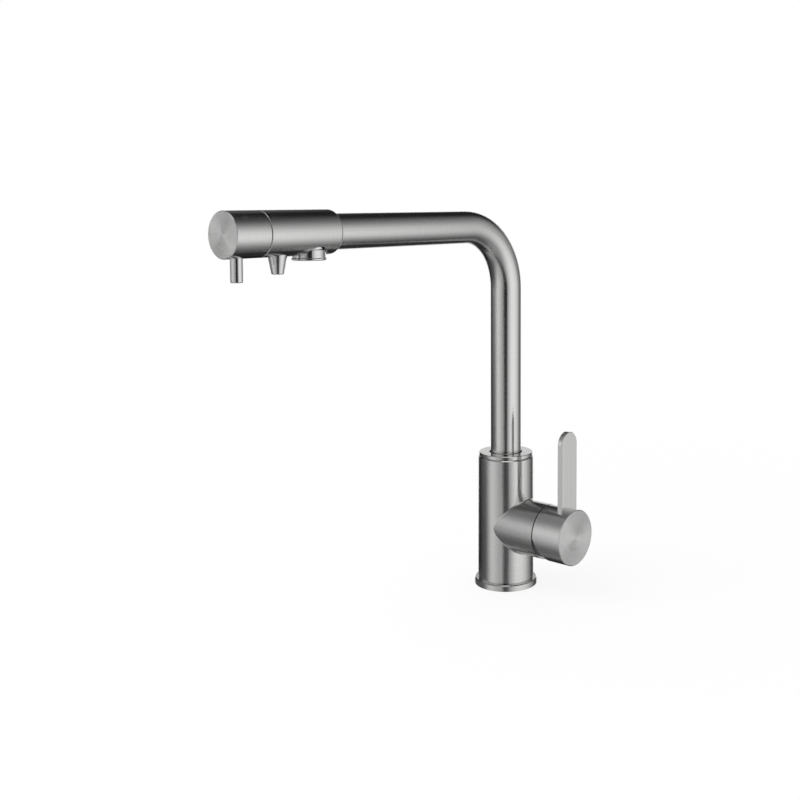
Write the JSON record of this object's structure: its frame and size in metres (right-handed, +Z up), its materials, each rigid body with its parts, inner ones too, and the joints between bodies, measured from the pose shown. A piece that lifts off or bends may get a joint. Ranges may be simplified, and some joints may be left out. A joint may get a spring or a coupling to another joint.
{
  "type": "kitchen mixer tap",
  "caption": "Kitchen mixer tap with a square swivel spout, a side lever for mixed water and a small turning knob with its own nozzle for filtered water.",
  "frame": {"origin": "centre of the fixing stud's threaded hole at the worktop face, on the riser's axis", "axes": "+Z up along the riser, -Y along the spout's arm at rest, +X along the lever knob"},
  "size_m": [0.0968, 0.3008, 0.3094],
  "materials": {
    "brushed_steel": "fine brushed, satin",
    "chrome": "polished",
    "steel_tube": "drawn tube",
    "spring_steel": "ground",
    "brass": "machined",
    "rubber": "smooth",
    "bearing_plastic": "moulded",
    "cartridge_plastic": "moulded",
    "insert_plastic": "moulded",
    "dark_trim": "satin moulded",
    "ceramic": "lapped"
  },
  "bodies": {
    "tap_body": {"base_flange": "brushed_steel", "deck_gasket": "rubber", "body_shell": "brushed_steel", "valve_core": "brass", "filter_socket_ring": "rubber", "spout_cap_ring": "brushed_steel", "lower_bearing_ring": "bearing_plastic", "upper_bearing_ring": "bearing_plastic", "spout_circlip": "spring_steel", "cartridge_base": "cartridge_plastic", "cartridge_seals": "rubber", "ceramic_fixed_disc": "ceramic", "cartridge_housing": "cartridge_plastic", "cartridge_nut": "brass", "trim_dome": "dark_trim"},
    "spout": {"spout_tube": "brushed_steel", "spout_ferrule": "brass", "ferrule_rings": "rubber", "filter_tube": "steel_tube", "spout_head": "brushed_steel", "aerator_nut": "chrome", "aerator_insert": "insert_plastic", "aerator_washer": "rubber", "filter_nozzle": "chrome", "valve_seat_washer": "rubber", "valve_fixed_disc": "ceramic", "valve_headpart": "brass"},
    "filter_valve": {"valve_moving_disc": "ceramic", "valve_spindle": "brass", "spindle_ring": "rubber", "filter_knob": "brushed_steel", "filter_lever_pin": "chrome"},
    "temperature_carrier": {"cartridge_carrier": "cartridge_plastic", "pivot_pin": "spring_steel"},
    "lever": {"cartridge_stem": "spring_steel", "handle_knob": "brushed_steel", "handle_grub_screw": "spring_steel", "lever_plate": "brushed_steel"},
    "moving_disc": {"disc_slider": "cartridge_plastic", "ceramic_moving_disc": "ceramic"}
  },
  "joints": [
    {"name": "spout_swivel", "type": "hinge", "parent": "tap_body", "child": "spout", "pos_m": [0, 0, 0.1], "axis": [0, 0, 1], "continuous": true},
    {"name": "filter_valve_turn", "type": "hinge", "parent": "spout", "child": "filter_valve", "pos_m": [0, -0.26, 0.294], "axis": [0, -1, 0], "range_deg": [0, 90]},
    {"name": "temperature_turn", "type": "hinge", "parent": "tap_body", "child": "temperature_carrier", "pos_m": [0.0447, 0, 0.0506], "axis": [1, 0, 0], "range_deg": [-45, 45]},
    {"name": "flow_lift", "type": "hinge", "parent": "temperature_carrier", "child": "lever", "pos_m": [0.0447, 0, 0.0506], "axis": [0, 1, 0], "range_deg": [0, 20]},
    {"name": "disc_slide", "type": "slide", "parent": "temperature_carrier", "child": "moving_disc", "axis": [0, 0, 1], "range_m": [0, 0.00395]}
  ],
  "couplings": [
    {"joint": "disc_slide", "follows": "flow_lift", "m_per_rad": 0.01125}
  ]
}
